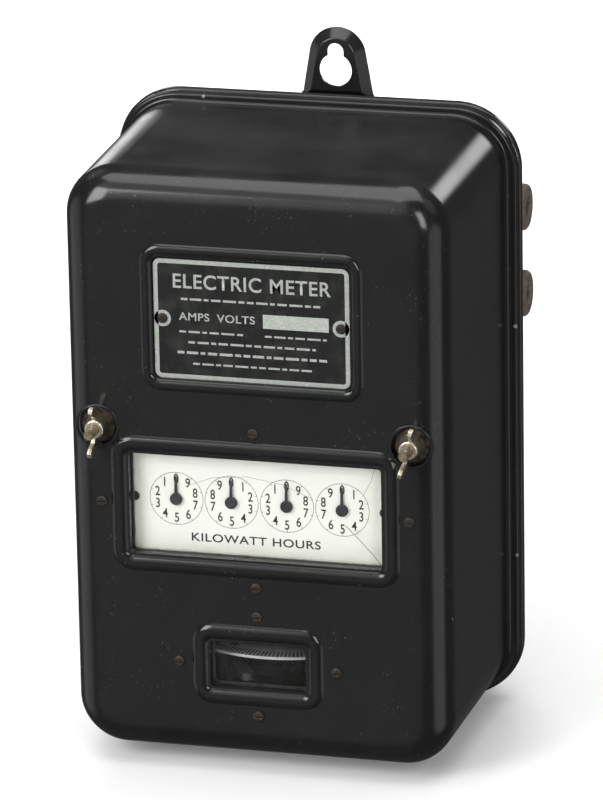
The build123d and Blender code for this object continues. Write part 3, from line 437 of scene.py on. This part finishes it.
FELT = felt("felt")
POINTER = ink("pointer_black", (0.012, 0.012, 0.012), 0.5)
PRINT = ink("dial_print", (0.010, 0.010, 0.010), 0.6)
ETCH = ink("etched_metal", (0.29, 0.305, 0.285), 0.46, 0.25)
BLANK = ink("blank_field", (0.33, 0.35, 0.325), 0.44, 0.25)
CRACK = ink("crack_line", (0.20, 0.185, 0.15), 0.35)

FINISHES = {
    "base_pan": BASE_PAINT, "hanger_bracket": BASE_PAINT, "hanger_rivets": BASE_PAINT,
    "cover": COVER_PAINT, "gasket": FELT,
    "cover_studs": STUD, "wing_nut_left": NICKEL, "wing_nut_right": NICKEL,
    "washer_left": WASHER, "washer_right": WASHER,
    "small_screws": RUST, "dial_screws": RUST,
    "nameplate": PLATE, "dial_plate": DIAL, "glass_panes": GLASS, "glass_frames": STEEL,
    "wire_bushings": COMPOSITION, "bushing_nuts": COMPOSITION, "brush_block": COMPOSITION,
    "terminal_block_left": CERAMIC, "terminal_block_right": CERAMIC, "resistor": CERAMIC,
    "main_frame": CASTING, "magnet_left": MAGNET, "magnet_right": MAGNET,
    "current_coil_left": COIL, "current_coil_right": COIL, "light_load_coil": FINE_COIL,
    "armature": ARMATURE, "brake_disc": DISC,
    "commutator": SILVER, "brush_arm_left": SILVER, "brush_arm_right": SILVER,
}
BRASS_NODES = (
    "terminals", "coil_clamps", "light_load_bar", "top_bearing", "jewel_screw",
    "register_rear_plate", "register_front_plate", "arbor_cock", "worm_arbor",
    "first_arbor", "second_arbor", "units_arbor", "tens_arbor", "hundreds_arbor", "thousands_arbor",
)


def finish_of(node):
    if node in BRASS_NODES:
        return BRASS
    if node.endswith("_pointer"):
        return POINTER
    return FINISHES.get(node, STEEL)


for name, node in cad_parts.items():
    node.data.materials.clear()
    node.data.materials.append(finish_of(name))


# ---------------------------------------------------------------- detail pieces
def piece(name, mesh, material, body):
    """Puts a finished mesh in the scene and ties it to a body and a material slot."""
    made = bpy.data.objects.new(name, mesh)
    bpy.context.scene.collection.objects.link(made)
    made.data.materials.append(material)
    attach(made, body)


def on_front(x, z, depth):
    """Point on a plane that faces the front; depth is the Y of that plane."""
    return Vector((x, depth, z))


def ribbon(bm, points, width, depth, closed=False):
    """Flat line of even width through x-z points, facing the front."""
    count = len(points)
    rails = []
    for index, point in enumerate(points):
        before = points[index - 1] if index or closed else point
        after = points[(index + 1) % count] if index + 1 < count or closed else point
        along = (Vector(after) - Vector(before)).normalized()
        side = Vector((-along[1], along[0])) * (width / 2)
        inner, outer = Vector(point) - side, Vector(point) + side
        rails.append((bm.verts.new(on_front(*inner, depth)), bm.verts.new(on_front(*outer, depth))))
    for index in range(count if closed else count - 1):
        a, b = rails[index], rails[(index + 1) % count]
        bm.faces.new((a[0], b[0], b[1], a[1]))


def arc(centre, radius, start, end, steps):
    """Points on a circle in the x-z plane, angles in degrees."""
    turns = [math.radians(start + (end - start) * step / steps) for step in range(steps + 1)]
    return [(centre[0] + radius * math.cos(t), centre[1] + radius * math.sin(t)) for t in turns]


def circle(centre, radius, steps):
    """Points round a whole circle, with no point twice."""
    return arc(centre, radius, 0, 360, steps)[:-1]


def finish_mesh(bm, name):
    """Turns every face towards the front and stores the mesh."""
    for face in bm.faces:
        face.normal_update()
        if face.normal.y > 0:
            face.normal_flip()
    mesh = bpy.data.meshes.new(name)
    bm.to_mesh(mesh)
    bm.free()
    return mesh


def lettering(name, items, depth):
    """One mesh of built-in-font text; items are (text, x, z, size, width factor)."""
    spacing, boldness = 1.08, 0.014
    bm = bmesh.new()
    for text, x, z, size, wide in items:
        curve = bpy.data.curves.new(name, "FONT")
        curve.body = text
        curve.size = size
        curve.align_x = "CENTER"
        curve.align_y = "CENTER"
        curve.space_character = spacing
        curve.offset = boldness * size
        carrier = bpy.data.objects.new(name, curve)
        mesh = bpy.data.meshes.new_from_object(carrier)
        place = Matrix.Translation(on_front(x, z, depth)) @ Matrix.Rotation(math.pi / 2, 4, "X")
        mesh.transform(place @ Matrix.Diagonal((wide, 1.0, 1.0, 1.0)))
        bm.from_mesh(mesh)
        bpy.data.objects.remove(carrier)
        bpy.data.meshes.remove(mesh)
        bpy.data.curves.remove(curve)
    return finish_mesh(bm, name)


def dial_marks():
    """Printed circle and ten ticks for each of the four dials."""
    ring, tick_length, line_width = 12.25 * MM, 0.9 * MM, 0.22 * MM
    bm = bmesh.new()
    for x in DIAL_X:
        ribbon(bm, circle((x, DIAL_Z), ring, 96), line_width, DIAL_LINES_Y, closed=True)
        for tick in range(10):
            turn = math.radians(36 * tick + 90)
            line = [(x + r * math.cos(turn), DIAL_Z + r * math.sin(turn))
                    for r in (ring, ring - tick_length)]
            ribbon(bm, line, line_width, DIAL_LINES_Y)
    return finish_mesh(bm, "dial_marks")


def dial_numerals():
    """Numbers 0 to 9 round each dial; the first and third dials count anticlockwise."""
    radius, size, width = 9.1 * MM, 6.2 * MM, 0.78
    items = []
    for index, x in enumerate(DIAL_X):
        sense = 1 if index % 2 == 0 else -1
        for number in range(10):
            turn = math.radians(90 + sense * 36 * number)
            place = (x + radius * math.cos(turn), DIAL_Z + radius * math.sin(turn))
            items.append((str(number), *place, size, width))
    return lettering("dial_numerals", items, DIAL_TEXT_Y)


def nameplate_frame():
    """Bare-metal border of the nameplate, with a boss round each screw."""
    edge, corner, border = 1.0 * MM, 2.2 * MM, 2.0 * MM
    boss_radius, boss_width = 2.75 * MM, 2.1 * MM
    bm = bmesh.new()
    low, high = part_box("nameplate")
    left, right = low[0] + edge, high[0] - edge
    foot, head = low[2] + edge, high[2] - edge
    outline = []
    corners = ((right, head, 0), (left, head, 90), (left, foot, 180), (right, foot, 270))
    for x, z, start in corners:
        centre = (x - math.copysign(corner, x), z - math.copysign(corner, z - PLATE_Z))
        outline += arc(centre, corner, start, start + 90, 8)
    ribbon(bm, outline, border, PLATE_FIELD_Y, closed=True)
    for side in (-1, 1):
        boss = circle((side * PLATE_SCREW_X, PLATE_Z), boss_radius, 48)
        ribbon(bm, boss, boss_width, PLATE_FIELD_Y, closed=True)
    return finish_mesh(bm, "nameplate_border")


def nameplate_rules():
    """Rows of plain dashes that stand where a plate would carry its lines of print."""
    bm = bmesh.new()
    rows = (
        # in mm: height above the plate centre, left end, right end, thickness
        (9.4, -32.0, 32.0, 1.0),
        (-5.6, -33.0, -2.0, 0.9),
        (-5.6, 6.0, 34.0, 0.9),
        (-10.4, -29.0, 29.0, 1.0),
        (-15.2, -34.0, 34.0, 1.2),
        (-20.2, -27.0, 27.0, 0.9),
    )
    lengths = (3.1, 5.2, 2.2, 4.3, 6.0, 2.7)
    gap, shortest = 1.1, 1.5
    for z, start, end, thick in rows:
        here, count = start, 0
        while here < end - shortest:
            there = min(here + lengths[count % len(lengths)], end)
            line = [(here * MM, PLATE_Z + z * MM), (there * MM, PLATE_Z + z * MM)]
            ribbon(bm, line, thick * MM, PLATE_TEXT_Y)
            here, count = there + gap, count + 1
    return finish_mesh(bm, "nameplate_rules")


def blank_field():
    """Empty light field where a number would be stamped."""
    left, right, height = 5.2 * MM, 35.0 * MM, 6.4 * MM
    bm = bmesh.new()
    ribbon(bm, [(left, WORDS_Z), (right, WORDS_Z)], height, PLATE_FIELD_Y)
    return finish_mesh(bm, "nameplate_field")


def cracks():
    """Three cracks across the register glass."""
    bm = bmesh.new()
    lines = (
        # points in x and z, width in mm
        (((-0.0330, -0.0085), (-0.0200, -0.0035), (-0.0040, -0.0020),
          (0.0120, -0.0045), (0.0260, -0.0105)), 0.20),
        (((0.0405, -0.0215), (0.0470, -0.0280), (0.0530, -0.0345), (0.0572, -0.0395)), 0.42),
        (((0.0545, 0.0065), (0.0520, -0.0010), (0.0485, -0.0075)), 0.24),
    )
    for points, width in lines:
        ribbon(bm, points, width * MM, CRACK_Y)
    return finish_mesh(bm, "glass_cracks")


# text, x, z, letter size, width factor
CAPTION = (("KILOWATT HOURS", -1.9 * MM, -33.6 * MM, 5.4 * MM, 1.2),)
PLATE_WORDS = (
    ("ELECTRIC METER", 0.0, PLATE_Z + 17.2 * MM, 9.2 * MM, 0.96),
    ("AMPS", -26.0 * MM, WORDS_Z, 5.0 * MM, 1.1),
    ("VOLTS", -7.0 * MM, WORDS_Z, 5.0 * MM, 1.1),
)

piece("dial_marks", dial_marks(), PRINT, "base")
piece("dial_numerals", dial_numerals(), PRINT, "base")
piece("dial_caption", lettering("dial_caption", CAPTION, DIAL_TEXT_Y), PRINT, "base")
piece("nameplate_border", nameplate_frame(), ETCH, "cover_body")
piece("nameplate_rules", nameplate_rules(), ETCH, "cover_body")
piece("nameplate_field", blank_field(), BLANK, "cover_body")
piece("nameplate_words", lettering("nameplate_words", PLATE_WORDS, PLATE_TEXT_Y), ETCH,
      "cover_body")
piece("glass_cracks", cracks(), CRACK, "cover_body")


# ---------------------------------------------------------------- stage, light and camera
FLOOR_REACH = 8.0
FLOOR_GAP = 0.0002                              # keeps the floor clear of the meter's foot
DOME_RADIUS = 7.5
ROOM_LIGHT = 0.075                              # brightness of the room away from the panels
METER_MIDDLE = Vector((0.0, -0.08, 0.0))
CAMERA_PLACE = (0.6799, -2.5885, 0.8615)
CAMERA_BACK = Vector((0.24811, -0.91738, 0.31122))
CAMERA_ROLL = math.radians(-1.02)
CAMERA_LENS = 271.87                            # mm, for a 36 mm sensor


def stage_material(name, colour, near, far):
    """Pale paper, faintly mottled, that glows more with distance so the horizon stays white."""
    made = Finish(name, Roughness=0.9, Specular_IOR_Level=0.1)
    tint = made.mix(made.noise(3, 4), tuple(channel * 0.985 for channel in colour), colour)
    made.put("Base Color", tint)
    made.put("Emission Color", tint)
    away = made.node("ShaderNodeVectorMath", operation="LENGTH")
    made.feed(away.inputs[0], made.place)
    made.put("Emission Strength", made.span(away.outputs["Value"], 0.5, 4.0, near, far))
    return made.material


def add_floor():
    """Pale paper floor just under the meter, left out of reflections."""
    bm = bmesh.new()
    bmesh.ops.create_grid(bm, x_segments=8, y_segments=8, size=FLOOR_REACH)
    mesh = bpy.data.meshes.new("floor")
    bm.to_mesh(mesh)
    bm.free()
    floor = bpy.data.objects.new("floor", mesh)
    bpy.context.scene.collection.objects.link(floor)
    floor.location = (0, 0, cad_box[0][2] - FLOOR_GAP)
    mesh.materials.append(stage_material("floor_paper", (0.76, 0.76, 0.76), 0.16, 1.1))
    floor.visible_glossy = False


def add_backdrop():
    """Pale dome seen only by the camera, so low views have no dark horizon."""
    bm = bmesh.new()
    bmesh.ops.create_uvsphere(bm, u_segments=48, v_segments=24, radius=DOME_RADIUS)
    mesh = bpy.data.meshes.new("backdrop")
    bm.to_mesh(mesh)
    bm.free()
    dome = bpy.data.objects.new("backdrop", mesh)
    bpy.context.scene.collection.objects.link(dome)
    mesh.materials.append(stage_material("backdrop_paper", (0.9, 0.9, 0.9), 1.1, 1.1))
    dome.visible_glossy = False
    dome.visible_diffuse = False
    dome.visible_shadow = False
    dome.visible_transmission = False


PANELS = (
    # direction seen from the object, inner and outer half angle in degrees, brightness
    ((-0.93, -0.10, -0.22), 12, 32, 0.62),
    ((0.93, -0.25, -0.24), 12, 28, 0.95),
    ((0.31, 0.92, 0.25), 3, 9, 3.6),
    ((-0.39, 0.90, 0.08), 3, 9, 2.2),
    ((-0.25, -0.90, -0.20), 10, 40, 0.25),
    ((-0.25, -0.73, 0.64), 14, 34, 1.00),
    ((-0.62, 0.35, 0.70), 8, 20, 0.5),
    ((0.75, 0.10, 0.65), 8, 20, 0.5),
)


def add_world():
    """Dim grey room with soft bright panels that the enamel picks up."""
    world = bpy.data.worlds.new("studio")
    bpy.context.scene.world = world
    world.use_nodes = True
    tree = world.node_tree
    look = tree.nodes.new("ShaderNodeTexCoord").outputs["Generated"]
    total = None
    for direction, inner, outer, strength in PANELS:
        dot = tree.nodes.new("ShaderNodeVectorMath")
        dot.operation = "DOT_PRODUCT"
        tree.links.new(look, dot.inputs[0])
        dot.inputs[1].default_value = Vector(direction).normalized()
        glow = tree.nodes.new("ShaderNodeMapRange")
        glow.interpolation_type = "SMOOTHSTEP"
        # Inputs 0, 1, 2 and 4 are the value, the range's low and high, and the most it gives.
        tree.links.new(dot.outputs["Value"], glow.inputs[0])
        glow.inputs[1].default_value = math.cos(math.radians(outer))
        glow.inputs[2].default_value = math.cos(math.radians(inner))
        glow.inputs[4].default_value = strength
        if total is None:
            total = glow.outputs[0]
            continue
        joined = tree.nodes.new("ShaderNodeMath")
        joined.operation = "ADD"
        tree.links.new(total, joined.inputs[0])
        tree.links.new(glow.outputs[0], joined.inputs[1])
        total = joined.outputs[0]
    lifted = tree.nodes.new("ShaderNodeMath")
    lifted.operation = "ADD"
    lifted.inputs[1].default_value = ROOM_LIGHT
    tree.links.new(total, lifted.inputs[0])
    background = tree.nodes["Background"]
    background.inputs["Color"].default_value = (1.0, 1.0, 1.0, 1.0)
    tree.links.new(lifted.outputs[0], background.inputs["Strength"])


def add_softbox(name, place, size, power, mirrored=True):
    """Area light that faces the middle of the meter; mirrored lets the enamel reflect it."""
    data = bpy.data.lights.new(name, "AREA")
    data.shape = "RECTANGLE"
    data.size, data.size_y = size
    data.energy = power
    light = bpy.data.objects.new(name, data)
    bpy.context.scene.collection.objects.link(light)
    light.location = place
    aim = METER_MIDDLE - Vector(place)
    light.rotation_euler = aim.to_track_quat("-Z", "Y").to_euler()
    light.visible_camera = False
    light.visible_glossy = mirrored


def add_camera():
    """Long lens from the right and above, a touch out of level."""
    back = CAMERA_BACK.normalized()
    right = (-back).cross(Vector((0, 0, 1))).normalized()
    up = right.cross(-back)
    across = math.cos(CAMERA_ROLL) * right + math.sin(CAMERA_ROLL) * up
    upright = -math.sin(CAMERA_ROLL) * right + math.cos(CAMERA_ROLL) * up
    data = bpy.data.cameras.new("camera")
    data.lens = CAMERA_LENS
    data.sensor_width = 36.0
    data.clip_end = 40.0
    camera = bpy.data.objects.new("camera", data)
    bpy.context.scene.collection.objects.link(camera)
    facing = Matrix((across, upright, back)).transposed().to_4x4()
    camera.matrix_world = Matrix.Translation(CAMERA_PLACE) @ facing
    bpy.context.scene.camera = camera


add_floor()
add_backdrop()
add_world()
# name, place, width and height, watts
add_softbox("overhead", (0.1, -0.2, 1.7), (1.8, 1.4), 26)
add_softbox("front_left", (-1.1, -1.6, 0.9), (0.9, 1.2), 30)
add_softbox("front_right", (1.2, -1.5, 0.7), (0.5, 1.0), 12)
add_softbox("rear", (-0.5, 1.9, 0.9), (1.2, 1.0), 45, mirrored=False)
add_camera()
bpy.context.scene.view_settings.view_transform = "Standard"
